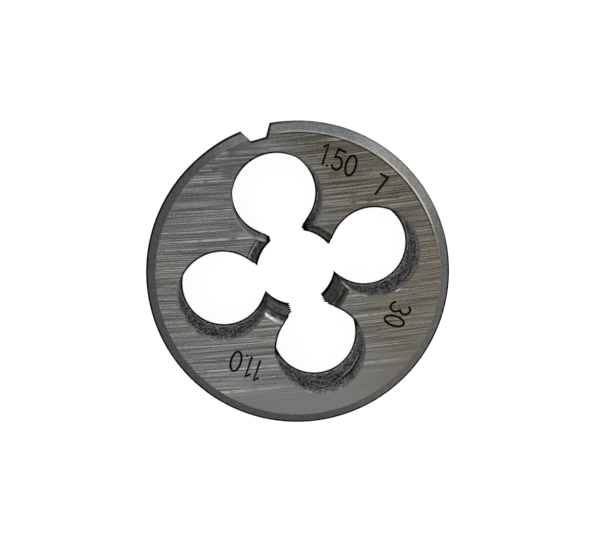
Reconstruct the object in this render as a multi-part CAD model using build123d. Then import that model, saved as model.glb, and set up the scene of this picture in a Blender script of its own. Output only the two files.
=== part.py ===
from build123d import *
import math
import os

os.makedirs("parts", exist_ok=True)

# A round threading die: one hardened disc with a left-hand thread through its middle. Chip holes
# break into the thread and leave lands between them, whose ends are the cutting edges. A lead cone
# opens the thread at each face, so the die can start from either side.
# Millimetres and degrees, with +Z along the thread, the bottom face at zero and the notch at +Y.

# Disc
outside_diameter = 30.0
thickness = 11.0
rim_chamfer_width = 1.0  # measured across the face
rim_chamfer_height = 1.0  # measured along the rim

# Thread
thread_diameter = 10.0  # of the screw that the die cuts, which the bottom of the groove makes
thread_pitch = 1.5
thread_angle = 60.0  # between the two flanks of the groove
root_flat_in_pitches = 1 / 8  # flat bottom of the groove
tooth_height_in_pitches = 0.6134  # depth of the finished screw's thread

thread_start_direction = 270.0  # from +X, where the middle of the groove crosses the bottom face

# Lead cones, each with a chamfer round its mouth
lead_half_angle = 20.0
lead_mouth_clearance = 0.25  # all round, between the mouth and the screw
mouth_chamfer_width = 0.55  # measured across the face
mouth_chamfer_half_angle = 45.0

# Chip holes
chip_holes = 4
chip_hole_break_in = 0.695  # how far a hole reaches inside the tips of the teeth
chip_hole_web = 1.465  # steel left between a hole and the floor of the notch
chip_hole_edge_break = 0.12  # small cone at each mouth

# Notch in the rim, in line with one chip hole
notch_direction = 90.0  # from +X, towards +Y
notch_depth = 1.4
notch_floor_width = 1.65
notch_angle = 60.0
notch_corner_radius = 0.2

# Cone-shaped recesses in the rim for the points of holding screws, one behind each land
recess_mouth_diameter = 4.4
recess_point_angle = 90.0

# Cutters: how far they run past the surface that they open, and how much of the way from one
# chip hole's middle to the next's a stretch of groove covers, so that it ends in the open
overcut = 1.0
groove_run_out = 0.15
groove_stretch_in_spacings = 0.75

# Sizes that follow
outside_radius = outside_diameter / 2
groove_radius = thread_diameter / 2
tooth_tip_radius = groove_radius - tooth_height_in_pitches * thread_pitch
lead_mouth_radius = groove_radius + lead_mouth_clearance
chip_hole_inner_reach = tooth_tip_radius - chip_hole_break_in
chip_hole_outer_reach = outside_radius - notch_depth - chip_hole_web
chip_hole_radius = (chip_hole_outer_reach - chip_hole_inner_reach) / 2
chip_hole_circle_radius = (chip_hole_outer_reach + chip_hole_inner_reach) / 2
chip_hole_spacing = 360 / chip_holes


def slope_of(angle):
    """Sideways run for each millimetre along a line that leans by an angle."""
    return math.tan(math.radians(angle))


def turned(*outline):
    """The solid that an outline of (radius, height) points sweeps round the Z axis."""
    return revolve(Plane.XZ * make_face(Polyline(*outline, close=True)), Axis.Z)


def disc():
    """The plain disc with both rims chamfered."""
    flat_radius = outside_radius - rim_chamfer_width
    return turned(
        (0, 0),
        (flat_radius, 0),
        (outside_radius, rim_chamfer_height),
        (outside_radius, thickness - rim_chamfer_height),
        (flat_radius, thickness),
        (0, thickness),
    )


def bore_and_lead_cones():
    """The hole through the tips of the teeth, opened by a lead cone and a chamfer at each face."""
    chamfer_slope = slope_of(mouth_chamfer_half_angle)
    wide_radius = lead_mouth_radius + overcut * chamfer_slope
    cone_radius = lead_mouth_radius - mouth_chamfer_width
    cone_start = mouth_chamfer_width / chamfer_slope
    cone_end = cone_start + (cone_radius - tooth_tip_radius) / slope_of(lead_half_angle)
    return turned(
        (0, -overcut),
        (wide_radius, -overcut),
        (cone_radius, cone_start),
        (tooth_tip_radius, cone_end),
        (tooth_tip_radius, thickness - cone_end),
        (cone_radius, thickness - cone_start),
        (wide_radius, thickness + overcut),
        (0, thickness + overcut),
    )


def chip_hole():
    """One chip hole on the Z axis, with its edge broken at each face."""
    wide_radius = chip_hole_radius + chip_hole_edge_break + overcut
    return turned(
        (0, -overcut),
        (wide_radius, -overcut),
        (chip_hole_radius, chip_hole_edge_break),
        (chip_hole_radius, thickness - chip_hole_edge_break),
        (wide_radius, thickness + overcut),
        (0, thickness + overcut),
    )


def notch():
    """The flat-bottomed V at +X that the pointed screw of a die stock bears in."""
    floor = outside_radius - notch_depth
    mouth = outside_radius + overcut
    floor_half_width = notch_floor_width / 2
    mouth_half_width = floor_half_width + (mouth - floor) * slope_of(notch_angle / 2)
    outline = Polyline(
        (floor, -floor_half_width),
        (mouth, -mouth_half_width),
        (mouth, mouth_half_width),
        (floor, floor_half_width),
        close=True,
    )
    profile = make_face(outline)
    floor_corners = profile.vertices().sort_by(Axis.X)[:2]
    return extrude(fillet(floor_corners, notch_corner_radius), amount=thickness)


def rim_recess():
    """One screw recess at +X, a cone at half thickness that points at the Z axis."""
    slope = slope_of(recess_point_angle / 2)
    depth = recess_mouth_diameter / 2 / slope
    cone = turned((0, -depth), ((depth + overcut) * slope, overcut), (0, overcut))
    return Pos(outside_radius, 0, thickness / 2) * Rot(0, 90, 0) * cone


def groove_stretch():
    """The stretch of the left-hand groove that crosses one land, with its middle at +X."""
    inner_radius = tooth_tip_radius - groove_run_out
    angle = chip_hole_spacing * groove_stretch_in_spacings
    rise = thread_pitch * angle / 360
    start = -rise / 2
    root_half_width = root_flat_in_pitches * thread_pitch / 2
    mouth_half_width = root_half_width + (groove_radius - inner_radius) * slope_of(thread_angle / 2)
    outline = Polyline(
        (inner_radius, start - mouth_half_width),
        (groove_radius, start - root_half_width),
        (groove_radius, start + root_half_width),
        (inner_radius, start + mouth_half_width),
        close=True,
    )
    path = Helix(pitch=thread_pitch, height=rise, radius=groove_radius, center=(0, 0, start), lefthand=True)
    return Rot(0, 0, angle / 2) * sweep(Plane.XZ * make_face(outline), path=path, is_frenet=True)


def thread_groove():
    """The stretches of one continuous groove, on every land and from below the disc to above it."""
    stretch = groove_stretch()
    turns = math.ceil(thickness / thread_pitch) + 2
    stretches = []
    for land in range(chip_holes):
        angle = notch_direction + (land + 1 / 2) * chip_hole_spacing
        for turn in range(turns):
            height = (turn - (angle - thread_start_direction) / 360) * thread_pitch
            stretches.append(Pos(0, 0, height) * Rot(0, 0, angle) * stretch)
    return stretches


def threading_die():
    """The whole die as one solid."""
    die = disc() - bore_and_lead_cones() - Rot(0, 0, notch_direction) * notch()
    for hole in range(chip_holes):
        angle = notch_direction + hole * chip_hole_spacing
        die -= Rot(0, 0, angle) * Pos(chip_hole_circle_radius, 0, 0) * chip_hole()
        die -= Rot(0, 0, angle + chip_hole_spacing / 2) * rim_recess()
    return die - thread_groove()


export_step(threading_die(), "parts/threading_die.step")
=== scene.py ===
"""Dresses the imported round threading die: ground faces, turned rim, drilled walls, cut thread and numbers."""

import logging
import math
from dataclasses import dataclass, field
from enum import Enum
from functools import reduce
from typing import NamedTuple

import bpy
from mathutils import Matrix, Vector


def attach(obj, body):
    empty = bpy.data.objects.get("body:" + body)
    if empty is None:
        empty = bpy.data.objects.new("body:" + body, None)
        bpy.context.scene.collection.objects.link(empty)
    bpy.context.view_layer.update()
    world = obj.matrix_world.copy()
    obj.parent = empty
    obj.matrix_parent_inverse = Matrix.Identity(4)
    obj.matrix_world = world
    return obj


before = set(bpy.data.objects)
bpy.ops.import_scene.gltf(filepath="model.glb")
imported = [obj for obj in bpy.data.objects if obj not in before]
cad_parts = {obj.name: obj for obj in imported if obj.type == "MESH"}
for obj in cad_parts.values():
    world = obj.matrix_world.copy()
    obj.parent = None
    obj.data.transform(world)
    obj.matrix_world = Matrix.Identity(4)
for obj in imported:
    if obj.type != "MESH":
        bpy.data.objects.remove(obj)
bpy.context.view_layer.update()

LOG = logging.getLogger("threading_die")
MM = 0.001
ARC_STEP = 10.0  # degrees between two points of a curved pen stroke
MATRIX_SIZE = 4  # rows and columns of a matrix that places an object
FULL_TURN = 360.0
RIGHT_ANGLE = FULL_TURN / 4
Colour = tuple[float, float, float]
Pair = tuple[float, float]
Socket = bpy.types.NodeSocket
Value = Socket | float
Path = list[Vector]
Face = tuple[int, ...]
WHITE: Colour = (1.0, 1.0, 1.0)


def heading(direction: float) -> Vector:
    """The flat unit vector in a direction, given in degrees from +X towards +Y."""
    return Vector((math.cos(math.radians(direction)), math.sin(math.radians(direction))))


def add_object(name: str, data: bpy.types.ID) -> bpy.types.Object:
    """Put a mesh, light or camera into the scene.

    Args:
        name: the object's name.
        data: what it shows.

    Returns:
        The object.
    """
    item = bpy.data.objects.new(name, data)
    bpy.context.scene.collection.objects.link(item)
    return item


def add_mesh(name: str, points: Path, faces: list[Face], material: bpy.types.Material) -> bpy.types.Object:
    """Put a new mesh into the scene.

    Args:
        name: the piece's name.
        points: its vertices in metres.
        faces: its faces, by the vertices' numbers.
        material: its finish.

    Returns:
        The piece.
    """
    mesh = bpy.data.meshes.new(name)
    mesh.from_pydata(points, [], faces)
    mesh.materials.append(material)
    return add_object(name, mesh)


@dataclass(frozen=True)
class DieSizes:
    """The die's own sizes in millimetres and degrees, by which its finishes and numbers are laid out."""

    outside_radius: float = 15.0
    thickness: float = 11.0
    rim_chamfer: float = 1.0
    chip_hole_radius: float = 4.375
    chip_hole_circle: float = 7.76
    hole_mouth_radius: float = 4.495
    mouth_radius: float = 5.25
    cone_radius: float = 4.7
    lead_half_angle: float = 20.0
    tip_radius: float = 4.08
    notch_floor: float = 13.6
    notch_half_width: float = 0.825
    notch_half_angle: float = 30.0

    @property
    def face_radius(self) -> float:
        """Where the flat face ends and the rim's chamfer starts."""
        return self.outside_radius - self.rim_chamfer


class Shade(Enum):
    """Which way a fade runs along its measure: up from 0 to 1, or down from 1 to 0."""

    RISING = (0.0, 1.0)
    FALLING = (1.0, 0.0)


class Fade(NamedTuple):
    """A smooth step along a measure: its lower and higher mark, and which way it runs."""

    start: float
    end: float
    shade: Shade = Shade.RISING

    def past(self, mark: float) -> "Fade":
        """The same step with its marks counted from another mark."""
        return self._replace(start=mark + self.start, end=mark + self.end)


class Line(NamedTuple):
    """A soft line across a measure: where it is strongest, and how far it reaches to each side."""

    middle: float
    half_width: float

    def past(self, mark: float) -> "Line":
        """The same line with its middle counted from a mark."""
        return self._replace(middle=mark + self.middle)


class Cloud(NamedTuple):
    """Cloudy noise: clouds in each millimetre, octaves of finer noise, and how far it swings."""

    scale: float = 1.0
    detail: float = 2.0
    swing: float = 1.0


class Streak(NamedTuple):
    """Noise drawn out along the grinding lines: length and width in millimetres, and its strength."""

    length: float
    width: float
    seed: float
    detail: float
    strength: float

    @property
    def cloud(self) -> Cloud:
        """The noise that is drawn out."""
        return Cloud(detail=self.detail)


class MixKind(Enum):
    """What a Mix node mixes: its data type, the numbers of its three inputs, and that of its output."""

    NUMBER = ("FLOAT", (0, 2, 3), 0)
    COLOUR = ("RGBA", (0, 6, 7), 2)


class Layer(NamedTuple):
    """One finish: its colour, roughness, share of bare metal, and height of its surface."""

    colour: Socket
    roughness: Value
    metal: Value
    height: Value


class NodeSheet:
    """One material's nodes, written as short formulas from socket to socket."""

    def __init__(self, name: str) -> None:
        """Start an empty sheet.

        Args:
            name: the material's name.
        """
        self.material = bpy.data.materials.new(name)
        self.material.use_nodes = True
        self.tree = self.material.node_tree
        self.tree.nodes.clear()

    def add(self, kind: str, **settings: object) -> bpy.types.Node:
        """Add a node.

        Args:
            kind: the node's type name.
            settings: properties to set on it.

        Returns:
            The new node.
        """
        node = self.tree.nodes.new(kind)
        for key, value in settings.items():
            setattr(node, key, value)
        return node

    def feed(self, socket: Socket, value: Value | Colour) -> None:
        """Link an input to another socket, or set it to a plain number, colour or vector."""
        if isinstance(value, bpy.types.NodeSocket):
            self.tree.links.new(value, socket)
        elif socket.type == "RGBA":
            socket.default_value = (*value, 1.0)
        else:
            socket.default_value = value

    def fed(self, node: bpy.types.Node, values: dict[int | str, Value | Colour], output: int = 0) -> Socket:
        """Feed several inputs of a node.

        Args:
            node: the node.
            values: what to feed, by the input's number or name.
            output: the number of the output to return.

        Returns:
            The node's output.
        """
        for key, value in values.items():
            self.feed(node.inputs[key], value)
        return node.outputs[output]

    def calc(self, operation: str, *values: Value) -> Socket:
        """One step of arithmetic, by the Math node's operation, on its inputs in order."""
        return self.fed(self.add("ShaderNodeMath", operation=operation), dict(enumerate(values)))

    def chain(self, operation: str, values: tuple[Value, ...]) -> Value:
        """Several values, joined one after another by the same operation."""
        return reduce(lambda result, value: self.calc(operation, result, value), values)

    def total(self, *values: Value) -> Value:
        """The sum of several values."""
        return self.chain("ADD", values)

    def product(self, *values: Value) -> Value:
        """The product of several values."""
        return self.chain("MULTIPLY", values)

    def most(self, *values: Value) -> Value:
        """The greatest of several values."""
        return self.chain("MAXIMUM", values)

    def less(self, value: Value, other: Value) -> Socket:
        """A value less another one."""
        return self.calc("SUBTRACT", value, other)

    def rest(self, share: Value) -> Socket:
        """What a share leaves of one."""
        return self.less(1.0, share)

    def size(self, value: Value) -> Socket:
        """A value without its sign."""
        return self.calc("ABSOLUTE", value)

    def length(self, x: Value, y: Value) -> Socket:
        """The length of a flat vector."""
        return self.calc("SQRT", self.total(self.product(x, x), self.product(y, y)))

    def share_along(self, x: Value, y: Value, direction: float) -> Socket:
        """How much of a flat vector lies in a direction, given in degrees from +X towards +Y."""
        turn = math.radians(direction)
        return self.total(self.product(x, math.cos(turn)), self.product(y, math.sin(turn)))

    def fade(self, value: Value, step: Fade) -> Socket:
        """A smooth step along a measure.

        Args:
            value: the measure.
            step: the step's marks and the way it runs.

        Returns:
            The step, from 0 to 1.
        """
        node = self.add("ShaderNodeMapRange", interpolation_type="SMOOTHSTEP")
        low, high = step.shade.value
        marks = {"From Min": step.start, "From Max": step.end, "To Min": low, "To Max": high}
        return self.fed(node, {"Value": value, **marks})

    def line(self, value: Value, line: Line) -> Socket:
        """How strong a soft line is at a value of its measure, from 0 to 1."""
        return self.fade(self.size(self.less(value, line.middle)), Fade(0.0, line.half_width, Shade.FALLING))

    def between(self, kind: MixKind, *values: Value | Colour) -> Socket:
        """Mix two values.

        Args:
            kind: whether they are numbers or colours.
            values: the share of the second one, the first one, and the second one.

        Returns:
            The mixture.
        """
        data_type, inputs, output = kind.value
        return self.fed(self.add("ShaderNodeMix", data_type=data_type), dict(zip(inputs, values)), output)

    def mix(self, share: Value, low: Value, high: Value) -> Socket:
        """A number between two others, by a share from 0 for the first to 1 for the second."""
        return self.between(MixKind.NUMBER, share, low, high)

    def blend(self, share: Value, low: Socket | Colour, high: Socket | Colour) -> Socket:
        """A colour between two others, by a share from 0 for the first to 1 for the second."""
        return self.between(MixKind.COLOUR, share, low, high)

    def scale(self, vector: Socket | Colour, factor: Value) -> Socket:
        """A vector or colour, made longer or brighter by a factor."""
        node = self.add("ShaderNodeVectorMath", operation="SCALE")
        return self.fed(node, {"Vector": vector, "Scale": factor})

    def darken(self, colour: Socket, share: Value) -> Socket:
        """A colour that loses a share of its brightness."""
        return self.scale(colour, self.rest(share))

    def point(self, x: Value, y: Value, z: Value) -> Socket:
        """A point from its three numbers."""
        return self.fed(self.add("ShaderNodeCombineXYZ"), {"X": x, "Y": y, "Z": z})

    def noise(self, place: Socket, cloud: Cloud) -> Socket:
        """Cloudy noise from 0 to 1, read at a point."""
        node = self.add("ShaderNodeTexNoise", noise_dimensions="3D")
        return self.fed(node, {"Vector": place, "Scale": cloud.scale, "Detail": cloud.detail})

    def centred(self, noise: Socket) -> Socket:
        """Noise moved from 0 to 1 so that it swings about zero."""
        return self.less(noise, 1 / 2)

    def swing(self, place: Socket, cloud: Cloud) -> Value:
        """Cloudy noise about zero, as strong as the cloud says."""
        return self.product(self.centred(self.noise(place, cloud)), cloud.swing)

    def finish(self, layer: Layer, relief: float, gloss: float) -> bpy.types.Material:
        """Close the sheet with one shader.

        Args:
            layer: the finish of the whole surface.
            relief: millimetres of height that a step of 1 in the layer's height stands for.
            gloss: strength of the shine where the surface isn't bare metal.

        Returns:
            The finished material.
        """
        bump = self.add("ShaderNodeBump")
        height = self.fed(bump, {"Distance": relief * MM, "Height": layer.height})
        looks = {"Base Color": layer.colour, "Roughness": layer.roughness, "Metallic": layer.metal}
        return self.close({**looks, "Specular IOR Level": gloss, "Normal": height})

    def close(self, looks: dict[str, Value | Colour]) -> bpy.types.Material:
        """Make the sheet's one shader and join it to the material's output.

        Args:
            looks: the shader's inputs, by name.

        Returns:
            The finished material.
        """
        surface = self.fed(self.add("ShaderNodeBsdfPrincipled"), looks)
        self.feed(self.add("ShaderNodeOutputMaterial").inputs["Surface"], surface)
        return self.material


@dataclass(frozen=True)
class PaintedLight:
    """Where painted highlights, painted glints and painted shade fall, and where the notch is drawn dark:
    directions in degrees, distances in millimetres.
    """

    # Painted highlight along the rim's edge:
    edge_highlight_direction: float = 22.0
    edge_highlight_reach: Fade = Fade(12.8, 13.7)
    side_highlight_direction: float = 44.0
    side_highlight_reach: Fade = Fade(8.0, 11.5)
    side_highlight_x: Fade = Fade(1.4, 2.8)
    side_highlight_share: float = 0.5
    # Painted glints along one land's lead cone and chip hole edge:
    land_glint_direction: float = 218.0
    # Painted light on one side of the notch's chip hole:
    lit_side_direction: float = 225.0
    lit_side_reach: Fade = Fade(2.4, 3.9)
    lit_side_y: Fade = Fade(3.0, 4.0)
    under_camera: Pair = (-1.6, 15.5)  # a point behind the notch, under the camera, towards which painted shade grows
    notch_edge: Fade = Fade(0.03, 0.1, Shade.FALLING)
    notch_side: Fade = Fade(0.75, 0.85, Shade.FALLING)


class SurfacePlace:
    """Where a point of the die's surface is, in millimetres, and how steep the surface is there."""

    def __init__(self, sheet: NodeSheet, sizes: DieSizes, painted_light: PaintedLight) -> None:
        """Read the point and work out its measures.

        Args:
            sheet: the material's nodes.
            sizes: the die's sizes.
            painted_light: where painted highlights and painted shade fall.
        """
        self.sheet = sheet
        self.sizes = sizes
        self.painted_light = painted_light
        coordinates = sheet.add("ShaderNodeTexCoord")
        self.point = sheet.scale(coordinates.outputs["Object"], 1 / MM)
        split = sheet.add("ShaderNodeSeparateXYZ")
        sheet.feed(split.inputs[0], self.point)
        self.x, self.y, self.z = split.outputs
        facing = sheet.add("ShaderNodeSeparateXYZ")
        sheet.feed(facing.inputs[0], coordinates.outputs["Normal"])
        self.normal_x, self.normal_y, normal_z = facing.outputs
        self.upright = sheet.size(normal_z)
        self.radius = sheet.length(self.x, self.y)
        middle = sizes.thickness / 2
        self.depth = sheet.less(middle, sheet.size(sheet.less(self.z, middle)))
        # The chip holes lie on the axes, so the nearest one is on the axis of the greater coordinate.
        on_x = sheet.calc("GREATER_THAN", sheet.size(self.x), sheet.size(self.y))
        shift_x = sheet.product(on_x, sheet.calc("SIGN", self.x), sizes.chip_hole_circle)
        shift_y = sheet.product(sheet.rest(on_x), sheet.calc("SIGN", self.y), sizes.chip_hole_circle)
        self.hole_x = sheet.less(self.x, shift_x)
        self.hole_y = sheet.less(self.y, shift_y)
        self.hole_distance = sheet.length(self.hole_x, self.hole_y)
        # The point's distance from the point under the camera, measured outwards from the hole's middle;
        # painted shade falls where it is low.
        from_camera_foot_x, from_camera_foot_y = sheet.less(self.x, painted_light.under_camera[0]), sheet.less(self.y, painted_light.under_camera[1])
        away = sheet.total(sheet.product(self.hole_x, from_camera_foot_x), sheet.product(self.hole_y, from_camera_foot_y))
        self.exposure = sheet.calc("DIVIDE", away, self.hole_distance)

    def towards(self, direction: float) -> Socket:
        """How far the point lies in a direction, given in degrees from +X towards +Y."""
        return self.sheet.share_along(self.x, self.y, direction)

    def beside_hole(self, direction: float) -> Socket:
        """How far the point lies from the nearest chip hole's middle in a direction, in degrees."""
        return self.sheet.share_along(self.hole_x, self.hole_y, direction)

    def facing(self, direction: float) -> Socket:
        """How far the surface turns to a direction, given in degrees from +X towards +Y."""
        return self.sheet.share_along(self.normal_x, self.normal_y, direction)

    def stretched(self, x: float, y: float, z: float) -> Socket:
        """The point with its three numbers multiplied."""
        sheet = self.sheet
        return sheet.point(sheet.product(self.x, x), sheet.product(self.y, y), sheet.product(self.z, z))

    def ringed(self, radius: float, height: float) -> Socket:
        """A point that is the same all round, from the radius and the height, each multiplied."""
        sheet = self.sheet
        return sheet.point(sheet.product(self.radius, radius), sheet.product(self.z, height), 0.0)

    def side_highlight(self) -> Socket:
        """How much of the painted highlight along the rim's edge lies on the side of the point.

        Returns:
            The share, from 0 to 1.
        """
        sheet, painted_light = self.sheet, self.painted_light
        reach = sheet.fade(self.towards(painted_light.side_highlight_direction), painted_light.side_highlight_reach)
        return sheet.product(reach, sheet.fade(self.x, painted_light.side_highlight_x))

    def edge_highlight(self) -> Socket:
        """How strongly the painted highlight along the rim's edge shows on the side of the point.

        Returns:
            The share, from 0 to 1.
        """
        sheet, painted_light = self.sheet, self.painted_light
        brightest = sheet.fade(self.towards(painted_light.edge_highlight_direction), painted_light.edge_highlight_reach)
        return sheet.most(brightest, sheet.product(self.side_highlight(), painted_light.side_highlight_share))

    def lit_side(self) -> Socket:
        """How much the point lies on the side of the notch's chip hole that is given painted light.

        Returns:
            The share, from 0 to 1.
        """
        sheet, painted_light = self.sheet, self.painted_light
        reach = sheet.fade(self.beside_hole(painted_light.lit_side_direction), painted_light.lit_side_reach)
        return sheet.product(sheet.fade(self.y, painted_light.lit_side_y), reach)

    def near_notch(self) -> Socket:
        """How much the point lies in the notch or right beside its edge.

        Returns:
            The share, from 0 to 1.
        """
        sheet, sizes = self.sheet, self.sizes
        lean = math.radians(sizes.notch_half_angle)
        above_floor = sheet.less(self.y, sizes.notch_floor)
        beyond = sheet.less(sheet.size(self.x), sizes.notch_half_width)
        past_wall = sheet.less(
            sheet.product(beyond, math.cos(lean)), sheet.product(above_floor, math.sin(lean))
        )
        return sheet.fade(sheet.most(past_wall, sheet.product(above_floor, -1.0)), self.painted_light.notch_edge)

    def darker_notch_side(self) -> Socket:
        """How much the point lies on the side of the notch that is drawn darker."""
        return self.sheet.fade(self.x, self.painted_light.notch_side)


@dataclass(frozen=True)
class GroundFace:
    """Surface-ground steel: long, slightly bowed grinding lines over a patchy grey, cool to warm; the warm side
    is a painted reflection, with a painted highlight by the rim and painted shade round the holes' mouths.
    """

    cool_dark: Colour = (0.165, 0.171, 0.163)
    cool_light: Colour = (0.70, 0.72, 0.685)
    warm_dark: Colour = (0.142, 0.124, 0.098)
    warm_light: Colour = (0.612, 0.553, 0.462)
    highlight_white: Colour = (1.0, 0.99, 0.93)
    roughness: Pair = (0.42, 0.30)
    tone: float = 0.29
    grind_direction: float = -11.1
    grind_bow: float = 0.00367
    streaks: tuple[Streak, ...] = (
        Streak(12.0, 0.9, 3.0, 2.0, 0.28),
        Streak(9.0, 0.22, 31.0, 1.0, 0.7),
        Streak(6.0, 0.11, 47.0, 0.0, 1.15),
    )
    grain: Cloud = Cloud(7.0, 1.0, 0.95)
    scratches: Streak = Streak(14.0, 0.13, 61.0, 0.0, 0.9)
    scratch_reach: Fade = Fade(0.61, 0.68)
    gaps: Cloud = Cloud(0.9)
    gap_reach: Fade = Fade(0.30, 0.56)
    furrows: Streak = Streak(11.0, 0.13, 83.0, 0.0, -0.35)
    furrow_reach: Fade = Fade(0.66, 0.74)
    patches: Cloud = Cloud(0.35, 3.0)
    patch_strength: Pair = (0.6, 1.3)
    patch_tone: float = 0.06
    patch_warmth: float = 0.8
    smooth_direction: float = 89.0
    smooth_reach: Fade = Fade(-12.4, -8.6)
    dull_spot: Pair = (-2.2, 12.4)
    dull_reach: Fade = Fade(1.2, 3.4, Shade.FALLING)
    dull_strength: Pair = (1.0, 0.45)
    dull_tone: float = -0.12
    warm_direction: float = 4.0
    warm_reach: Fade = Fade(-0.5, 8.5)
    pale_direction: float = -75.0
    pale_tone: float = 0.0075
    shine_edge: Fade = Fade(-0.16, -0.10)
    edge_dark_line: Line = Line(-0.19, 0.12)
    edge_dark_share: float = 0.92
    hole_edge: Fade = Fade(0.03, 0.1, Shade.FALLING)
    hole_reach: Fade = Fade(-3.0, -0.5, Shade.FALLING)
    hole_share: float = 0.95
    notch_share: float = 0.97
    mouth_line: Line = Line(0.08, 0.12)
    mouth_direction: float = 135.0
    mouth_reach: Fade = Fade(3.5, 4.5)
    mouth_share: float = 0.92

    def layer(self, place: SurfacePlace) -> Layer:
        """Lay out the ground surface.

        Args:
            place: where the surface's point is.

        Returns:
            The finish of the two faces.
        """
        sheet, sizes = place.sheet, place.sizes
        patches = sheet.noise(place.point, self.patches)
        uneven = sheet.centred(patches)
        spot_x, spot_y = self.dull_spot
        from_spot = sheet.length(sheet.less(place.x, spot_x), sheet.less(place.y, spot_y))
        darker = sheet.fade(from_spot, self.dull_reach)
        strength = sheet.product(
            sheet.fade(place.towards(self.smooth_direction), self.smooth_reach),
            sheet.mix(patches, *self.patch_strength),
            sheet.mix(darker, *self.dull_strength),
        )
        marks = self.marks(place)
        tone = sheet.total(
            self.tone,
            sheet.product(marks, strength),
            sheet.product(uneven, self.patch_tone),
            sheet.product(place.towards(self.pale_direction), self.pale_tone),
            sheet.product(darker, self.dull_tone),
        )
        # Painted reflection: the face turns warm towards one side; the patches add some warmth at random.
        warm_reflection = sheet.fade(place.towards(self.warm_direction), self.warm_reach)
        warm = sheet.total(warm_reflection, sheet.product(uneven, self.patch_warmth))
        colour = sheet.blend(
            tone,
            sheet.blend(warm, self.cool_dark, self.warm_dark),
            sheet.blend(warm, self.cool_light, self.warm_light),
        )
        # Painted highlight along the face's edge by the rim.
        shine = sheet.product(
            sheet.fade(place.radius, self.shine_edge.past(sizes.face_radius)), place.edge_highlight()
        )
        colour = sheet.blend(shine, colour, self.highlight_white)
        # A dark line just inside the painted highlight by the rim.
        edge_line = sheet.product(
            sheet.line(place.radius, self.edge_dark_line.past(sizes.face_radius)),
            place.side_highlight(),
            self.edge_dark_share,
        )
        # Painted shade: a dark line round each chip hole's mouth on the side towards the point under the
        # camera.
        beside_hole = sheet.product(
            sheet.fade(place.hole_distance, self.hole_edge.past(sizes.hole_mouth_radius)),
            sheet.fade(place.exposure, self.hole_reach),
            self.hole_share,
        )
        beside_notch = sheet.product(place.near_notch(), place.darker_notch_side(), self.notch_share)
        # Painted shade: a dark line round the bore's mouth on the side at 135 degrees.
        beside_mouth = sheet.product(
            sheet.line(place.radius, self.mouth_line.past(sizes.mouth_radius)),
            sheet.fade(place.towards(self.mouth_direction), self.mouth_reach),
            self.mouth_share,
        )
        colour = sheet.darken(colour, sheet.most(edge_line, beside_hole, beside_notch, beside_mouth))
        return Layer(colour, sheet.mix(tone, *self.roughness), 1.0, marks)

    def marks(self, place: SurfacePlace) -> Value:
        """Lay out the grinding lines.

        Args:
            place: where the surface's point is.

        Returns:
            How far the lines lift or lower the surface and its tone.
        """
        sheet = place.sheet
        along = place.towards(self.grind_direction)
        across = place.towards(self.grind_direction + RIGHT_ANGLE)
        row = sheet.less(across, sheet.product(along, along, self.grind_bow / 2))

        def drawn_out(streak: Streak) -> Socket:
            """Noise from 0 to 1, drawn out along the grinding lines."""
            scaled = sheet.product(along, 1 / streak.length), sheet.product(row, 1 / streak.width)
            return sheet.noise(sheet.point(*scaled, sheet.total(place.z, streak.seed)), streak.cloud)

        unbroken = sheet.fade(sheet.noise(place.point, self.gaps), self.gap_reach)
        return sheet.total(
            *(sheet.product(sheet.centred(drawn_out(streak)), streak.strength) for streak in self.streaks),
            sheet.swing(place.point, self.grain),
            sheet.product(
                sheet.fade(drawn_out(self.scratches), self.scratch_reach), unbroken, self.scratches.strength
            ),
            sheet.product(sheet.fade(drawn_out(self.furrows), self.furrow_reach), self.furrows.strength),
        )


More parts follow.
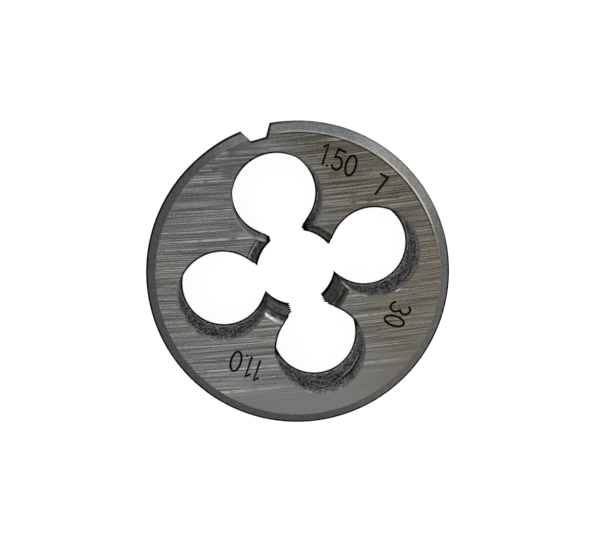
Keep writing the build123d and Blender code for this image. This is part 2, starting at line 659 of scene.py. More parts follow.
@dataclass(frozen=True)
class TurnedRim:
    """Turned steel on the rim, its chamfers and the notch, with a painted highlight along the inner edge and
    painted light and shade round the chamfer and along its outer edge.
    """

    dark: Colour = (0.264, 0.266, 0.247)
    light: Colour = (0.456, 0.457, 0.43)
    cool_dark: Colour = (0.29, 0.302, 0.306)
    cool_light: Colour = (0.50, 0.515, 0.522)
    edge_light: Colour = (1.0, 0.99, 0.93)
    edge_dark: Colour = (0.015, 0.015, 0.014)
    notch_dark: Colour = (0.01, 0.01, 0.01)
    notch_light: Colour = (0.05, 0.05, 0.048)
    roughness: float = 0.33
    tone: float = 0.5
    bevel_turn: Fade = Fade(0.3, 0.5)
    ring_scale: float = 9.0
    rings: Cloud = Cloud()
    ring_strength: Pair = (2.2, 0.5)
    mottle: Cloud = Cloud(3.2, 3.0, 2.0)
    specks: Cloud = Cloud(7.5, 1.0, 3.2)
    grain_strength: Pair = (0.15, 1.0)
    cool_direction: float = 78.0
    cool_reach: Fade = Fade(8.0, 14.0)
    pale_direction: float = -46.0
    pale_reach: Fade = Fade(11.0, 13.5)
    pale_gain: float = 0.12
    dim_direction: float = -4.0
    dim_turn: Fade = Fade(0.96, 0.99)
    dim_gain: float = -0.28
    bevel_gain: Pair = (1.45, 1.0)
    inner_highlight_edge: Fade = Fade(0.02, 0.09, Shade.FALLING)
    inner_highlight_strength: Pair = (0.08, 1.0)
    gaps: Cloud = Cloud(1.6)
    gap_reach: Fade = Fade(0.38, 0.5)
    gap_strength: Pair = (0.45, 1.0)
    outline_edge: Fade = Fade(-0.26, -0.15)
    outline_strength: Pair = (1.0, 0.3)
    lit_rim_direction: float = 37.0
    lit_rim_reach: Fade = Fade(9.5, 13.0)

    def layer(self, place: SurfacePlace) -> Layer:
        """Lay out the turned surface.

        Args:
            place: where the surface's point is.

        Returns:
            The finish of the rim, its chamfers and the notch.
        """
        sheet, sizes = place.sheet, place.sizes
        bevel = sheet.fade(place.upright, self.bevel_turn)
        rings = sheet.noise(place.ringed(self.ring_scale, self.ring_scale), self.rings)
        grain = sheet.total(sheet.swing(place.point, self.mottle), sheet.swing(place.point, self.specks))
        tone = sheet.total(
            self.tone,
            sheet.product(sheet.centred(rings), sheet.mix(bevel, *self.ring_strength)),
            sheet.product(grain, sheet.mix(bevel, *self.grain_strength)),
        )
        cool = sheet.fade(place.towards(self.cool_direction), self.cool_reach)
        colour = sheet.blend(
            tone,
            sheet.blend(cool, self.dark, self.cool_dark),
            sheet.blend(cool, self.light, self.cool_light),
        )
        # Painted light and shade round the chamfer: paler towards -46 degrees, dimmer towards -4 degrees, and
        # the rim's outside face painted lighter than the chamfer.
        paler = sheet.fade(place.towards(self.pale_direction), self.pale_reach)
        turned_away = sheet.calc("DIVIDE", place.towards(self.dim_direction), place.radius)
        gain = sheet.total(
            sheet.mix(bevel, *self.bevel_gain),
            sheet.product(paler, bevel, self.pale_gain),
            sheet.product(sheet.fade(turned_away, self.dim_turn), bevel, self.dim_gain),
        )
        # Painted highlight along the chamfer's inner edge, broken by gaps.
        unbroken = sheet.fade(sheet.noise(place.point, self.gaps), self.gap_reach)
        lighter = sheet.product(
            sheet.fade(place.radius, self.inner_highlight_edge.past(sizes.face_radius)),
            sheet.mix(place.edge_highlight(), *self.inner_highlight_strength),
            sheet.mix(unbroken, *self.gap_strength),
        )
        colour = sheet.blend(lighter, sheet.scale(colour, gain), self.edge_light)
        # Painted shade: a dark outline along the chamfer's outer edge, fainter on the lit side.
        lit_rim_side = sheet.fade(place.towards(self.lit_rim_direction), self.lit_rim_reach)
        outline = sheet.product(
            sheet.fade(place.radius, self.outline_edge.past(sizes.outside_radius)),
            sheet.mix(lit_rim_side, *self.outline_strength),
            bevel,
        )
        colour = sheet.blend(outline, colour, self.edge_dark)
        notch = sheet.product(
            place.near_notch(), sheet.most(place.darker_notch_side(), sheet.rest(place.upright))
        )
        notch_colour = sheet.blend(sheet.total(self.tone, grain), self.notch_dark, self.notch_light)
        return Layer(sheet.blend(notch, colour, notch_colour), self.roughness, sheet.rest(notch), rings)


@dataclass(frozen=True)
class BrokenEdge:
    """The small cone round each chip hole: painted shade on the side towards the point under the camera,
    lighter elsewhere and paler on the painted lit side, with painted glints on the side at -90 degrees.
    """

    # The first colour is painted shade; the next two are the lighter cone, the second on the painted lit side;
    # the last is for painted glints.
    scale: Colour = (0.012, 0.012, 0.011)
    lighter: Colour = (0.46, 0.46, 0.44)
    plain: Colour = (0.6, 0.605, 0.585)
    edge_glint: Colour = (0.95, 0.95, 0.93)
    roughness: Pair = (0.6, 0.22)
    lighter_reach: Fade = Fade(-0.5, 1.5)
    edge_glint_direction: float = -90.0
    edge_glint_reach: Fade = Fade(3.3, 4.3)
    edge_glints: Cloud = Cloud()
    edge_glint_spots: Fade = Fade(0.48, 0.62)

    def layer(self, place: SurfacePlace) -> Layer:
        """Lay out the broken edge.

        Args:
            place: where the surface's point is.

        Returns:
            The finish of the small cones.
        """
        sheet = place.sheet
        # Painted shade where the cone turns towards the point under the camera, and painted glints on the side
        # at -90 degrees.
        lighter = sheet.fade(place.exposure, self.lighter_reach)
        edge_glints = sheet.product(
            sheet.fade(place.beside_hole(self.edge_glint_direction), self.edge_glint_reach),
            sheet.fade(sheet.noise(place.point, self.edge_glints), self.edge_glint_spots),
        )
        lighter_colour = sheet.blend(place.lit_side(), self.lighter, self.plain)
        colour = sheet.blend(edge_glints, sheet.blend(lighter, self.scale, lighter_colour), self.edge_glint)
        return Layer(colour, sheet.mix(edge_glints, *self.roughness), lighter, edge_glints)


@dataclass(frozen=True)
class DrilledWall:
    """The rough walls of the chip holes: dark, scored by the drill, with painted light near the faces and on
    one side, painted shade at the foot, and painted glints.
    """

    deep: Colour = (0.01, 0.01, 0.0098)
    lighter: Colour = (0.64, 0.64, 0.62)
    glint_light: Colour = (0.85, 0.85, 0.82)
    highlight_white: Colour = (1.0, 1.0, 0.97)
    metal: Pair = (0.45, 0.1)
    roughness: Pair = (0.6, 0.35)
    tone: float = 0.2
    pit_stretch: Colour = (5.2, 5.2, 2.9)
    pits: Cloud = Cloud(detail=3.0)
    pit_strength: Pair = (7.4, 5.2)
    glint_reach: Fade = Fade(0.70, 0.76)
    score_stretch: Colour = (1.2, 1.2, 1.3)
    scores: Cloud = Cloud(swing=2.4)
    bright_depth: Fade = Fade(0.2, 3.4, Shade.FALLING)
    bright_tone: float = 0.6
    bore_reach: Fade = Fade(4.6, 6.4, Shade.FALLING)
    bore_tone: float = -0.55
    lip_half_width: float = 0.22
    lip_reach: Fade = Fade(0.0, 0.15, Shade.FALLING)
    glint_top: float = 10.7
    glint_depth: Fade = Fade(2.4, 3.8, Shade.FALLING)
    glint_inner: Fade = Fade(3.9, 4.3)
    glint_outer: Fade = Fade(5.2, 5.6, Shade.FALLING)
    glint_side: Fade = Fade(3.9, 4.15)
    least_camera_facing: float = 4.0
    ring_line: Line = Line(38.0, 8.0)
    ring_share: float = 0.6
    gaps: Cloud = Cloud(0.8)
    gap_reach: Fade = Fade(0.42, 0.55)
    glint_streak_direction: float = -53.0
    glint_streak_side: Fade = Fade(4.05, 4.25)
    glint_streak_end: Fade = Fade(-4.6, -4.375, Shade.FALLING)
    glint_streak_line: Line = Line(4.6, 0.5)
    dark_band_line: Line = Line(3.5, 1.0)
    foot_shade: Fade = Fade(20.0, 30.0, Shade.FALLING)
    tip_shade: Fade = Fade(0.27, 0.42, Shade.FALLING)
    bore_shade: Fade = Fade(4.9, 5.4, Shade.FALLING)
    low_shade: Fade = Fade(3.2, 4.2, Shade.FALLING)
    shade_share: float = 0.97

    def layer(self, place: SurfacePlace) -> Layer:
        """Lay out the drilled surface.

        Args:
            place: where the surface's point is.

        Returns:
            The finish of the walls.
        """
        sheet, sizes = place.sheet, place.sizes
        below_face = sheet.less(sizes.thickness, place.z)
        lit_side = place.lit_side()
        # Painted light and shade: the walls are lighter near the faces and on the painted lit side, darker
        # deeper down.
        near_face = sheet.most(sheet.fade(below_face, self.bright_depth), lit_side)
        pits = sheet.noise(place.stretched(*self.pit_stretch), self.pits)
        near_bore = sheet.product(sheet.fade(place.radius, self.bore_reach), sheet.rest(lit_side))
        tone = sheet.total(
            self.tone,
            sheet.product(sheet.centred(pits), sheet.mix(near_face, *self.pit_strength)),
            sheet.swing(place.stretched(*self.score_stretch), self.scores),
            sheet.product(near_face, self.bright_tone),
            sheet.product(near_bore, self.bore_tone),
        )
        # Painted glints on the brightest pits.
        glints = sheet.fade(pits, self.glint_reach)
        colour = sheet.blend(glints, sheet.blend(tone, self.deep, self.lighter), self.glint_light)
        # The chamfer round the mouth meets the wall where the radius shrinks as fast as the height; a painted
        # highlight runs along it.
        lip_line = Line(sizes.mouth_radius - sizes.thickness, self.lip_half_width)
        lip = sheet.product(
            sheet.line(sheet.less(place.radius, place.z), lip_line),
            sheet.fade(place.radius, self.lip_reach.past(sizes.mouth_radius)),
        )
        colour = sheet.blend(lip, colour, self.glint_light)
        # Painted glint along the lead cone on one land.
        colour = sheet.blend(self.edge_line(place), colour, self.highlight_white)
        # The painted shade at the foot of the walls reaches higher where they turn less towards the camera.
        foot = sheet.product(place.z, sheet.most(place.exposure, self.least_camera_facing))
        # A broken painted highlight runs round the walls just above the painted shade at their foot.
        unbroken = sheet.fade(sheet.noise(place.point, self.gaps), self.gap_reach)
        ring = sheet.product(sheet.line(foot, self.ring_line), unbroken, self.ring_share)
        colour = sheet.blend(ring, colour, self.glint_light)
        # A painted glint on one wall of the chip hole at -Y, with a dark band beside it.
        glint_streak_place = sheet.product(
            sheet.fade(place.beside_hole(self.glint_streak_direction), self.glint_streak_side),
            sheet.fade(place.y, self.glint_streak_end),
        )
        glint_streak = sheet.product(glint_streak_place, sheet.line(below_face, self.glint_streak_line))
        colour = sheet.blend(glint_streak, colour, self.highlight_white)
        dark_band = sheet.product(glint_streak_place, sheet.line(below_face, self.dark_band_line))
        # Painted shade: black at the foot of the walls, by the teeth's tips, and low down by the bore and on
        # the painted lit side; the dark band beside the glint is darkened with it.
        beside_bore = sheet.most(lit_side, sheet.fade(place.radius, self.bore_shade))
        painted_shade = sheet.most(
            sheet.fade(foot, self.foot_shade),
            sheet.fade(place.radius, self.tip_shade.past(sizes.tip_radius)),
            sheet.product(beside_bore, sheet.fade(place.z, self.low_shade)),
        )
        colour = sheet.darken(colour, sheet.product(sheet.most(painted_shade, dark_band), self.shade_share))
        metal = sheet.product(sheet.mix(near_face, *self.metal), sheet.rest(painted_shade))
        return Layer(colour, sheet.mix(glints, *self.roughness), metal, pits)

    def edge_line(self, place: SurfacePlace) -> Value:
        """Lay out the painted glint along the lead cone on one land.

        Args:
            place: where the surface's point is.

        Returns:
            The share of the painted glint, from 0 to 1.
        """
        sheet = place.sheet
        cone_slope = 1 / math.tan(math.radians(place.sizes.lead_half_angle))
        inside = sheet.most(sheet.less(place.sizes.cone_radius, place.radius), 0.0)
        cone_height = sheet.less(self.glint_top, sheet.product(inside, cone_slope))
        return sheet.product(
            sheet.fade(sheet.less(cone_height, place.z), self.glint_depth),
            sheet.fade(place.radius, self.glint_inner),
            sheet.fade(place.radius, self.glint_outer),
            sheet.fade(place.beside_hole(place.painted_light.land_glint_direction), self.glint_side),
        )


@dataclass(frozen=True)
class CutThread:
    """The mouth chamfers, lead cones and teeth: cut steel, with painted shade on the tips of the teeth and on
    the side under the camera, painted glints on the lit chamfers, and painted shade as a dark outline by the
    chip holes.
    """

    dark: Colour = (0.08, 0.08, 0.078)
    light: Colour = (0.62, 0.62, 0.60)
    mouth_dark: Colour = (0.12, 0.12, 0.115)
    mouth_light: Colour = (0.95, 0.95, 0.92)
    bright: Colour = (1.0, 1.0, 0.98)
    roughness: float = 0.30
    mouth_roughness: float = 0.62
    tone: float = 0.45
    mouth_tone: float = -0.3
    mouth_edge: Fade = Fade(-0.03, 0.03)
    ring_stretch: Pair = (7.0, 5.0)
    rings: Cloud = Cloud(swing=1.5)
    mottle: Cloud = Cloud(3.0, 3.0)
    mottle_tone: float = 1.8
    under_camera_side: Fade = Fade(-0.5, 0.5)
    under_camera_tone: float = -0.22
    cone_foot: Fade = Fade(8.55, 8.95, Shade.FALLING)
    tooth_side: Fade = Fade(-1.0, 1.0)
    tooth_shade: Pair = (0.1, 0.5)
    tip_shade: Fade = Fade(0.2, 0.36, Shade.FALLING)
    low_shade: Fade = Fade(3.8, 4.4, Shade.FALLING)
    under_camera_shade: float = 0.9
    shade_share: float = 0.97
    lit_direction: float = 45.0
    lit_turn: Fade = Fade(0.5, 0.66)
    glint_direction: float = 205.0
    glint_reach: Fade = Fade(4.2, 4.9)
    glint_strength: Pair = (0.45, 1.0)
    gaps: Cloud = Cloud(2.2)
    gap_reach: Fade = Fade(0.44, 0.58)
    gap_strength: Pair = (0.3, 1.0)
    glint_streak_reach: Fade = Fade(4.55, 4.9)
    glint_streak_strength: Pair = (0.72, 1.0)
    glint_grain: Cloud = Cloud(4.5)
    glint_grain_reach: Fade = Fade(0.4, 0.6)
    glint_grain_strength: Pair = (0.78, 1.1)
    mouth_shade_direction: float = 135.0
    mouth_shade_turn: Fade = Fade(0.3, 0.6)
    mouth_shade_share: float = 0.6
    glint_band: Fade = Fade(4.35, 4.6)
    glint_side: Fade = Fade(3.95, 4.2)
    glint_width: float = 0.09
    glint_edge: Fade = Fade(0.09, 0.13, Shade.FALLING)
    outline_edge: Fade = Fade(0.12, 0.17, Shade.FALLING)
    outline_reach: Fade = Fade(0.0, 4.0)
    outline_share: float = 0.97
    facing_outline_share: float = 0.6

    def layer(self, place: SurfacePlace) -> Layer:
        """Lay out the cut surface.

        Args:
            place: where the surface's point is.

        Returns:
            The finish of the cones and teeth.
        """
        sheet, sizes = place.sheet, place.sizes
        mottle = sheet.noise(place.point, self.mottle)
        # Painted shade: the side under the camera is darker.
        under_camera = sheet.fade(place.y, self.under_camera_side)
        tone = sheet.total(
            self.tone,
            sheet.swing(place.ringed(*self.ring_stretch), self.rings),
            sheet.product(sheet.centred(mottle), self.mottle_tone),
            sheet.product(under_camera, self.under_camera_tone),
        )
        below_cone = sheet.fade(place.z, self.cone_foot)
        teeth = sheet.product(below_cone, sheet.mix(sheet.fade(place.x, self.tooth_side), *self.tooth_shade))
        # Painted shade on the teeth's tips on the side under the camera, low in the bore, and below the cones
        # on that side.
        tips = sheet.most(
            sheet.product(sheet.fade(place.radius, self.tip_shade.past(sizes.tip_radius)), under_camera),
            sheet.fade(place.z, self.low_shade),
            sheet.product(under_camera, below_cone, self.under_camera_shade),
        )
        inner = sheet.darken(sheet.blend(tone, self.dark, self.light), teeth)
        inner = sheet.darken(inner, sheet.product(tips, self.shade_share))
        lit = sheet.fade(place.facing(self.lit_direction), self.lit_turn)
        in_mouth = sheet.fade(place.radius, self.mouth_edge.past(sizes.cone_radius))
        colour = sheet.blend(in_mouth, inner, self.mouth(place, tone, lit))
        # A painted glint along one chip hole's edge on one land, and painted shade as a dark outline round the
        # chip holes' edges, fainter where the wall turns to the camera.
        from_hole = sheet.less(place.hole_distance, sizes.chip_hole_radius)
        glint_place = sheet.product(
            sheet.fade(place.radius, self.glint_band),
            sheet.fade(place.beside_hole(place.painted_light.land_glint_direction), self.glint_side),
        )
        edge_line = sheet.product(glint_place, sheet.fade(from_hole, self.glint_edge))
        past_glint = sheet.less(from_hole, sheet.product(glint_place, self.glint_width))
        facing_share = sheet.mix(glint_place, self.facing_outline_share, self.outline_share)
        outline = sheet.product(
            sheet.fade(past_glint, self.outline_edge),
            sheet.mix(sheet.fade(place.exposure, self.outline_reach), self.outline_share, facing_share),
        )
        colour = sheet.blend(edge_line, sheet.darken(colour, outline), self.bright)
        mouth_roughness = sheet.mix(lit, self.mouth_roughness, self.roughness)
        roughness = sheet.mix(in_mouth, self.roughness, mouth_roughness)
        return Layer(colour, roughness, sheet.product(sheet.rest(tips), sheet.rest(outline)), mottle)

    def mouth(self, place: SurfacePlace, tone: Value, lit: Socket) -> Socket:
        """Lay out the chamfer round the mouth, with the painted glint on its lit side and painted shade on the
        side turned to 135 degrees.

        Args:
            place: where the surface's point is.
            tone: the cut surface's tone.
            lit: how far the surface turns to the light.

        Returns:
            The chamfer's colour.
        """
        sheet = place.sheet
        outwards = sheet.fade(place.radius, Fade(place.sizes.cone_radius, place.sizes.mouth_radius))
        mouth_tone = sheet.total(tone, outwards, self.mouth_tone)
        # Painted shade where the chamfer turns to 135 degrees.
        darker = sheet.fade(place.facing(self.mouth_shade_direction), self.mouth_shade_turn)
        colour = sheet.blend(mouth_tone, self.mouth_dark, self.mouth_light)
        colour = sheet.darken(colour, sheet.product(darker, self.mouth_shade_share))
        run = place.towards(self.glint_direction)
        glints = sheet.product(
            lit,
            sheet.mix(sheet.fade(sheet.noise(place.point, self.gaps), self.gap_reach), *self.gap_strength),
            sheet.mix(sheet.fade(run, self.glint_reach), *self.glint_strength),
        )
        # The painted glint fades away from 205 degrees and is grainy.
        grain = sheet.fade(sheet.noise(place.point, self.glint_grain), self.glint_grain_reach)
        glint_streak = sheet.product(
            sheet.mix(sheet.fade(run, self.glint_streak_reach), *self.glint_streak_strength),
            sheet.mix(grain, *self.glint_grain_strength),
        )
        return sheet.scale(sheet.blend(glints, colour, self.bright), sheet.mix(lit, 1.0, glint_streak))


@dataclass
class DieBody:
    """The die itself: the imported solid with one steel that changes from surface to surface."""

    node: str = "threading_die"
    sizes: DieSizes = field(default_factory=DieSizes)
    painted_light: PaintedLight = field(default_factory=PaintedLight)
    ground: GroundFace = field(default_factory=GroundFace)
    rim: TurnedRim = field(default_factory=TurnedRim)
    edge: BrokenEdge = field(default_factory=BrokenEdge)
    wall: DrilledWall = field(default_factory=DrilledWall)
    thread: CutThread = field(default_factory=CutThread)
    relief: float = 0.006
    gloss: float = 0.0
    flat_turn: Fade = Fade(0.93, 0.985)
    border: Fade = Fade(0.02, 0.06, Shade.FALLING)
    wall_turn: Fade = Fade(0.12, 0.25, Shade.FALLING)
    edge_turn: Fade = Fade(0.5, 0.65)
    edge_depth: Fade = Fade(0.16, 0.3, Shade.FALLING)
    edge_start: Fade = Fade(-0.1, 0.0)

    def build(self) -> bpy.types.Object:
        """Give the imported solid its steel.

        Returns:
            The dressed solid.
        """
        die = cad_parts[self.node]
        die.material_slots[0].material = self.steel()
        return die

    def steel(self) -> bpy.types.Material:
        """The whole die's material.

        Returns:
            A material that tells the ground, turned, drilled and cut surfaces apart by their place.
        """
        sheet = NodeSheet("die_steel")
        sizes = self.sizes
        place = SurfacePlace(sheet, sizes, self.painted_light)
        flat = sheet.fade(place.upright, self.flat_turn)
        near_hole = sheet.fade(place.hole_distance, self.border.past(sizes.hole_mouth_radius))
        in_mouth = sheet.fade(place.radius, self.border.past(sizes.mouth_radius))
        broken = sheet.product(
            near_hole,
            sheet.rest(flat),
            sheet.fade(place.upright, self.edge_turn),
            sheet.fade(place.depth, self.edge_depth),
            sheet.fade(place.radius, self.edge_start.past(sizes.mouth_radius)),
        )
        whole = self.rim.layer(place)
        for share, finish in (
            (flat, self.ground),
            (sheet.product(sheet.rest(flat), in_mouth), self.thread),
            (sheet.product(near_hole, sheet.fade(place.upright, self.wall_turn)), self.wall),
            (broken, self.edge),
        ):
            layer = finish.layer(place)
            whole = Layer(
                sheet.blend(share, whole.colour, layer.colour),
                sheet.mix(share, whole.roughness, layer.roughness),
                sheet.mix(share, whole.metal, layer.metal),
                sheet.mix(share, whole.height, layer.height),
            )
        return sheet.finish(whole, self.relief, self.gloss)


def arc(centre: Pair, radii: Pair, start: float, end: float) -> Path:
    """Points along an arc of an ellipse.

    Args:
        centre: its centre.
        radii: its half width and half height.
        start: first angle in degrees.
        end: last angle in degrees.

    Returns:
        The points.
    """
    steps = max(round(abs(end - start) / ARC_STEP), 1)
    turns = (heading(start + (end - start) * step / steps) for step in range(steps + 1))
    return [Vector(centre) + turn * Vector(radii) for turn in turns]


def run(*points: Pair) -> Path:
    """Points of a line with straight stretches."""
    return [Vector(point) for point in points]


class Figure(Enum):
    """The figures, each drawn with one stroke of a pen in a box one high: its width and its stroke."""

    ZERO = (0.50, arc((0.25, 0.5), (0.25, 0.5), 90, 440))
    ONE = (0.26, run((0.04, 0.82), (0.22, 1.0), (0.22, 0.0)))
    THREE = (0.48, arc((0.23, 0.755), (0.23, 0.245), 150, -75) + arc((0.23, 0.265), (0.25, 0.265), 75, -150))
    FIVE = (0.48, run((0.47, 1.0), (0.10, 1.0), (0.05, 0.56)) + arc((0.23, 0.32), (0.25, 0.32), 125, -145))
    SEVEN = (0.40, run((0.0, 1.0), (0.40, 1.0), (0.12, 0.0)))
    POINT = (0.0, run((-0.01, 0.0), (0.01, 0.02)))


@dataclass(frozen=True)
class BurntMark:
    """The black of numbers burnt into steel."""

    deep: Colour = (0.002, 0.002, 0.002)
    pale: Colour = (0.02, 0.019, 0.017)
    grain: Cloud = Cloud(6.0, 3.0)
    pale_reach: Fade = Fade(0.4, 0.75)
    roughness: float = 0.8
    relief: float = 0.002
    gloss: float = 0.08

    def material(self) -> bpy.types.Material:
        """Lay out the numbers' surface.

        Returns:
            The numbers' material.
        """
        sheet = NodeSheet("burnt_mark")
        coordinates = sheet.add("ShaderNodeTexCoord")
        grain = sheet.noise(sheet.scale(coordinates.outputs["Object"], 1 / MM), self.grain)
        colour = sheet.blend(sheet.fade(grain, self.pale_reach), self.deep, self.pale)
        return sheet.finish(Layer(colour, self.roughness, 0.0, grain), self.relief, self.gloss)


class Ring(NamedTuple):
    """One cross-section of a bead: its middle, its direction sideways, and its share of the full size."""

    spot: Vector
    side: Vector
    size: float = 1.0


@dataclass(frozen=True)
class Marking:
    """One number on the face: direction from +X and radius of its middle, and its turn from outwards."""

    name: str
    figures: tuple[Figure, ...]
    direction: float
    radius: float
    turn: float


@dataclass
class FaceNumbers:
    """Plain numbers burnt into the upper face, which read clockwise with their tops outwards."""

    sizes: DieSizes
    finish: BurntMark = field(default_factory=BurntMark)
    height: float = 1.97
    gap: float = 0.2
    slant: float = -6.0
    pen_width: float = 0.23
    proud: float = 0.012
    mitre_limit: float = 0.6
    section_points: int = 10
    cap_rings: int = 3
    markings: tuple[Marking, ...] = (
        Marking("number_pitch", (Figure.ONE, Figure.POINT, Figure.FIVE, Figure.ZERO), 54.8, 11.8, -5.0),
        Marking("number_grade", (Figure.SEVEN,), 31.3, 11.8, 15.0),
        Marking("number_width", (Figure.THREE, Figure.ZERO), -38.9, 10.55, -3.0),
        Marking("number_height", (Figure.ONE, Figure.ONE, Figure.POINT, Figure.ZERO), 224.1, 10.46, 5.0),
    )

    def build(self) -> list[bpy.types.Object]:
        """Make every number, and return their pieces."""
        material = self.finish.material()
        return [self.number(marking, material) for marking in self.markings]

    def number(self, marking: Marking, material: bpy.types.Material) -> bpy.types.Object:
        """Make one number as a low bead along its pen strokes.

        Args:
            marking: what it says and where it stands.
            material: its finish.

        Returns:
            The number's piece.
        """
        middle = heading(marking.direction) * marking.radius
        upward = heading(marking.direction + marking.turn)
        reading = Vector((upward.y, -upward.x))
        lean = math.tan(math.radians(self.slant))
        vertices: Path = []
        faces: list[Face] = []
        width = sum(figure.value[0] for figure in marking.figures) + self.gap * (len(marking.figures) - 1)
        start = -width / 2
        for figure in marking.figures:
            figure_width, stroke = figure.value
            path = []
            for spot in stroke:
                up = spot.y - 1 / 2
                path.append(middle + (upward * up + reading * (start + spot.x + up * lean)) * self.height)
            self.bead(path, figure is Figure.ZERO, vertices, faces)
            start += figure_width + self.gap
        piece = add_mesh(marking.name, [vertex * MM for vertex in vertices], faces, material)
        for polygon in piece.data.polygons:
            polygon.use_smooth = True
        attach(piece, "root")
        return piece

    def rings(self, path: Path, closed: bool) -> list[Ring]:
        """Lay out a bead's cross-sections, with round ends where it is open.

        Args:
            path: the pen's points in millimetres.
            closed: whether the last point joins the first.

        Returns:
            The cross-sections in order.
        """
        count = len(path)
        rings: list[Ring] = []
        for index, spot in enumerate(path):
            before = path[index - 1] if closed or index else None
            after = path[(index + 1) % count] if closed or index < count - 1 else None
            arriving = (spot - before).normalized() if before else (after - spot).normalized()
            leaving = (after - spot).normalized() if after else arriving
            tangent = (arriving + leaving).normalized()
            stretch = 1 / max(tangent.dot(leaving), self.mitre_limit)
            rings.append(Ring(spot, Vector((-tangent.y, tangent.x)) * stretch))
        if closed:
            return rings
        head, tail = (path[0] - path[1]).normalized(), (path[-1] - path[-2]).normalized()
        for step in range(1, self.cap_rings + 1):
            angle = math.pi / 2 * step / (self.cap_rings + 1)
            reach, size = self.pen_width / 2 * math.sin(angle), math.cos(angle)
            rings.insert(0, Ring(path[0] + head * reach, Vector((head.y, -head.x)), size))
            rings.append(Ring(path[-1] + tail * reach, Vector((-tail.y, tail.x)), size))
        return rings

    def bead(self, path: Path, closed: bool, vertices: Path, faces: list[Face]) -> None:
        """Add one flattened bead.

        Args:
            path: the pen's points in millimetres.
            closed: whether the last point joins the first.
            vertices: the mesh's vertices so far, which it adds to.
            faces: the mesh's faces so far, which it adds to.
        """
        rings = self.rings(path, closed)
        first = len(vertices)
        for spot, side, size in rings:
            for step in range(self.section_points):
                angle = math.tau * step / self.section_points
                flat = spot + side * (math.cos(angle) * size * self.pen_width / 2)
                rise = math.sin(angle) * size * self.proud
                vertices.append(Vector((flat.x, flat.y, self.sizes.thickness + rise)))
        sections = len(rings)
        for ring in range(sections if closed else sections - 1):
            here = first + ring * self.section_points
            there = first + (ring + 1) % sections * self.section_points
            for step in range(self.section_points):
                following = (step + 1) % self.section_points
                faces.append((here + step, here + following, there + following, there + step))
        if not closed:
            last = first + (sections - 1) * self.section_points
            faces.append(tuple(first + step for step in reversed(range(self.section_points))))
            faces.append(tuple(last + step for step in range(self.section_points)))


@dataclass(frozen=True)
class Softbox:
    """One area light: compass direction and height in degrees, distance and size in metres, and its glow."""

    name: str
    compass: float
    height: float
    distance: float
    size: Pair
    radiance: float
    colour: Colour = WHITE

    def build(self) -> bpy.types.Object:
        """Aim the light at the die.

        Returns:
            The light.
        """
        data = bpy.data.lights.new(self.name, "AREA")
        data.shape = "RECTANGLE"
        data.size, data.size_y = self.size
        data.energy = self.radiance * math.pi * self.size[0] * self.size[1]
        data.color = self.colour
        light = add_object(self.name, data)
        rise = heading(self.height)
        towards = Vector((*(heading(self.compass) * rise.x), rise.y))
        light.location = towards * self.distance
        light.rotation_euler = towards.to_track_quat("Z", "Y").to_euler()
        light.visible_camera = False
        return light


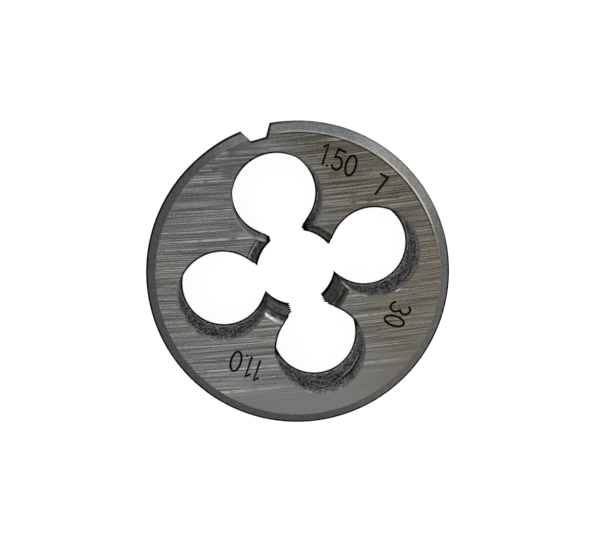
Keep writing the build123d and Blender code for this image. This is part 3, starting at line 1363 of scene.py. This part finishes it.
@dataclass
class Studio:
    """The pale floor and wall in metres, the soft lights, and the camera in millimetres and degrees."""

    sizes: DieSizes
    floor_size: float = 6.0
    wall_radius: float = 1.0
    wall_height: float = 0.8
    wall_sides: int = 64
    pale_colour: Colour = (0.9, 0.9, 0.9)
    pale_roughness: float = 0.9
    pale_glow: float = 0.9
    backdrop_strength: float = 0.19
    softboxes: tuple[Softbox, ...] = (
        Softbox("overhead", 220.0, 80.0, 0.5, (0.6, 0.6), 0.37),
        Softbox("key", 12.0, 8.0, 0.5, (0.6, 0.25), 0.76, (1.0, 0.99, 0.945)),
        Softbox("fill", 68.0, 12.0, 0.6, (1.0, 0.35), 0.36, (0.96, 0.98, 1.0)),
        Softbox("side", -50.0, 4.0, 0.5, (0.7, 0.35), 0.13, (1.0, 1.0, 0.95)),
    )
    lens: float = 79.76
    distance: float = 130.35
    tilt: float = 6.285
    sway: float = 2.676
    roll: float = 16.08
    slide_right: float = -0.114
    slide_up: float = -0.409

    def build(self) -> None:
        """Set up the floor, the wall, the backdrop, the lights and the camera."""
        pale = self.pale_surface()
        self.floor(pale)
        self.wall(pale)
        self.backdrop()
        for softbox in self.softboxes:
            softbox.build()
        self.camera()

    def pale_surface(self) -> bpy.types.Material:
        """Lay out the floor's and the wall's surface, which glows like a light table.

        Returns:
            The material.
        """
        looks = {"Base Color": self.pale_colour, "Roughness": self.pale_roughness}
        glow = {"Emission Color": WHITE, "Emission Strength": self.pale_glow}
        return NodeSheet("pale_surface").close({**looks, **glow})

    def floor(self, material: bpy.types.Material) -> bpy.types.Object:
        """A wide pale floor under the die, which leaves the reflections to the lights.

        Args:
            material: its finish.

        Returns:
            The floor.
        """
        half = self.floor_size / 2
        outline = ((-half, -half), (half, -half), (half, half), (-half, half))
        corners = [Vector((x, y, 0.0)) for x, y in outline]
        floor = add_mesh("floor", corners, [tuple(range(len(corners)))], material)
        floor.visible_glossy = False
        return floor

    def wall(self, material: bpy.types.Material) -> bpy.types.Object:
        """A round pale wall far behind the die, which only the camera sees.

        Args:
            material: its finish.

        Returns:
            The wall.
        """
        count = self.wall_sides
        turns = [heading(FULL_TURN * side / count) for side in range(count)]
        levels = (0.0, self.wall_height)
        points = [Vector((*(turn * self.wall_radius), level)) for level in levels for turn in turns]
        sides = [(side, (side + 1) % count) for side in range(count)]
        faces = [(left, right, right + count, left + count) for left, right in sides]
        wall = add_mesh("wall", points, faces, material)
        wall.visible_glossy = False
        wall.visible_diffuse = False
        wall.visible_transmission = False
        wall.visible_shadow = False
        return wall

    def backdrop(self) -> None:
        """A dim even backdrop all round, with colours shown as they are."""
        world = bpy.data.worlds.new("studio")
        world.use_nodes = True
        background = world.node_tree.nodes["Background"]
        background.inputs["Color"].default_value = (*WHITE, 1.0)
        background.inputs["Strength"].default_value = self.backdrop_strength
        bpy.context.scene.world = world
        bpy.context.scene.view_settings.view_transform = "Standard"

    def camera(self) -> None:
        """Look almost straight down on the numbered face."""
        data = bpy.data.cameras.new("camera")
        data.lens = self.lens
        data.clip_start = MM
        camera = add_object("camera", data)
        tilt, sway, roll = (
            Matrix.Rotation(math.radians(angle), MATRIX_SIZE, axis)
            for angle, axis in ((self.tilt, "X"), (self.sway, "Y"), (-self.roll, "Z"))
        )
        turn = roll @ (tilt @ sway).transposed()
        eye = turn @ Vector((-self.slide_right, -self.slide_up, self.distance))
        eye.z += self.sizes.thickness
        camera.matrix_world = Matrix.Translation(eye * MM) @ turn
        bpy.context.scene.camera = camera


def main() -> None:
    """Build every piece in order."""
    logging.basicConfig(level=logging.INFO, format="%(name)s: %(message)s")
    sizes = DieSizes()
    die = DieBody(sizes=sizes).build()
    LOG.info("dressed %s", die.name)
    for number in FaceNumbers(sizes=sizes).build():
        LOG.info("made %s with %d faces", number.name, len(number.data.polygons))
    Studio(sizes=sizes).build()
    LOG.info("set up the studio")


if __name__ == "__main__":
    main()
